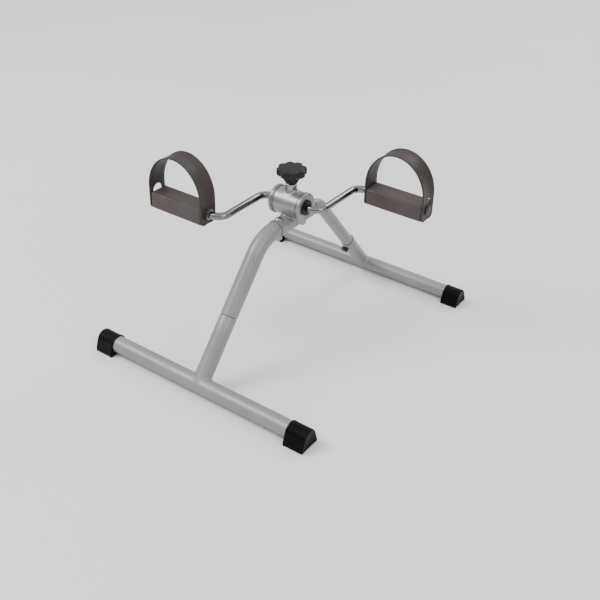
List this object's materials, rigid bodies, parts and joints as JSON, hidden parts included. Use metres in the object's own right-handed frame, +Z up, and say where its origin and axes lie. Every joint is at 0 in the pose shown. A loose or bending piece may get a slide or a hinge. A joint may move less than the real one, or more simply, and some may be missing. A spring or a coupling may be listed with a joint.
{
  "type": "pedal exerciser",
  "caption": "Floor-standing pedal exerciser: bent tube frame on two capped foot bars, friction hub with a tension knob, bent-rod crank and pedals with foot straps.",
  "frame": {"origin": "on the floor, straight below the middle of the crank axis and midway between the outer faces of the foot caps", "axes": "+X along the crank axis towards the right pedal, +Y towards the rear foot bar, +Z up"},
  "size_m": [0.38, 0.464, 0.291],
  "materials": {
    "frame_paint": "satin silver-grey paint on steel tube",
    "hub_silver": "smooth silver paint",
    "zinc_steel": "zinc-plated steel",
    "crank_chrome": "bright chrome plating",
    "cap_rubber": "matt black moulded rubber",
    "black_nylon": "black moulded nylon",
    "white_nylon": "natural nylon",
    "pedal_plastic": "warm dark grey moulded plastic",
    "strap_plastic": "flexible warm dark grey plastic band",
    "knob_plastic": "dark grey moulded plastic",
    "insert_brass": "turned brass"
  },
  "bodies": {
    "frame": {"front_foot_bar": "frame_paint", "rear_foot_bar": "frame_paint", "front_left_foot_cap": "cap_rubber", "front_right_foot_cap": "cap_rubber", "rear_left_foot_cap": "cap_rubber", "rear_right_foot_cap": "cap_rubber", "front_leg_socket": "frame_paint", "rear_leg_socket": "frame_paint", "front_leg": "frame_paint", "rear_leg": "frame_paint", "top_tube": "frame_paint", "rear_leg_liner": "black_nylon", "top_tube_bolts": "zinc_steel", "top_tube_nuts": "zinc_steel", "front_leg_screw": "zinc_steel", "front_leg_rivet": "zinc_steel", "rear_leg_bolt": "zinc_steel", "rear_leg_hand_nut": "black_nylon", "hub_barrel": "hub_silver", "tension_boss": "zinc_steel", "left_hub_cap": "hub_silver", "right_hub_cap": "hub_silver", "left_crank_bush": "black_nylon", "right_crank_bush": "black_nylon"},
    "crank": {"crank_shaft": "crank_chrome", "friction_drum": "zinc_steel", "thrust_washers": "zinc_steel", "spindle_washers": "zinc_steel", "spindle_nuts": "zinc_steel"},
    "left_pedal": {"left_pedal_body": "pedal_plastic", "left_pedal_bushes": "black_nylon", "left_foot_strap": "strap_plastic", "left_strap_peg": "pedal_plastic"},
    "right_pedal": {"right_pedal_body": "pedal_plastic", "right_pedal_bushes": "black_nylon", "right_foot_strap": "strap_plastic", "right_strap_peg": "pedal_plastic"},
    "shoe": {"friction_shoe": "white_nylon"},
    "knob": {"tension_screw": "zinc_steel", "tension_knob": "knob_plastic", "knob_insert": "insert_brass"}
  },
  "joints": [
    {"name": "crank_spin", "type": "hinge", "parent": "frame", "child": "crank", "pos_m": [0, 0, 0.215], "axis": [1, 0, 0], "continuous": true},
    {"name": "left_pedal_spin", "type": "hinge", "parent": "crank", "child": "left_pedal", "pos_m": [-0.1205, -0.1, 0.215], "axis": [1, 0, 0], "continuous": true},
    {"name": "right_pedal_spin", "type": "hinge", "parent": "crank", "child": "right_pedal", "pos_m": [0.1205, 0.1, 0.215], "axis": [1, 0, 0], "continuous": true},
    {"name": "shoe_travel", "type": "slide", "parent": "frame", "child": "shoe", "axis": [0, 0, -1], "range_m": [-0.00125, 0.00125]},
    {"name": "knob_turn", "type": "hinge", "parent": "shoe", "child": "knob", "pos_m": [0, 0, 0.265], "axis": [0, 0, -1], "range_deg": [-360, 360]}
  ],
  "couplings": [
    {"joint": "knob_turn", "follows": "shoe_travel", "rad_per_m": 5026.5}
  ]
}
